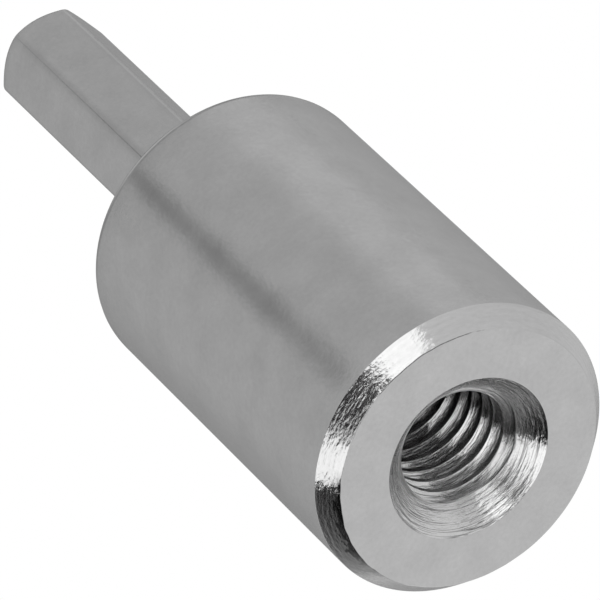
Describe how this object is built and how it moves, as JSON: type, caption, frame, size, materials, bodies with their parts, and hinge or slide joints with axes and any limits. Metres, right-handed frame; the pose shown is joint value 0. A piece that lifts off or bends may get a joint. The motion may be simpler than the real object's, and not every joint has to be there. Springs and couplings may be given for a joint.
{
  "type": "hanger bolt driver",
  "caption": "Round steel driver with a countersunk blind threaded hole in its flat front face and a hex shank behind, to spin a hanger bolt in with a drill.",
  "frame": {"origin": "centre of the flat front face, the face around the threaded mouth, which the driver stands on", "axes": "+Z along the turning axis towards the hex shank; two corners of the hex lie on the Y axis and two flats face +X and -X"},
  "size_m": [0.0186, 0.0186, 0.053],
  "materials": {
    "zinc_plated_steel": "satin"
  },
  "bodies": {
    "root": {"hanger_bolt_driver": "zinc_plated_steel"}
  },
  "joints": []
}
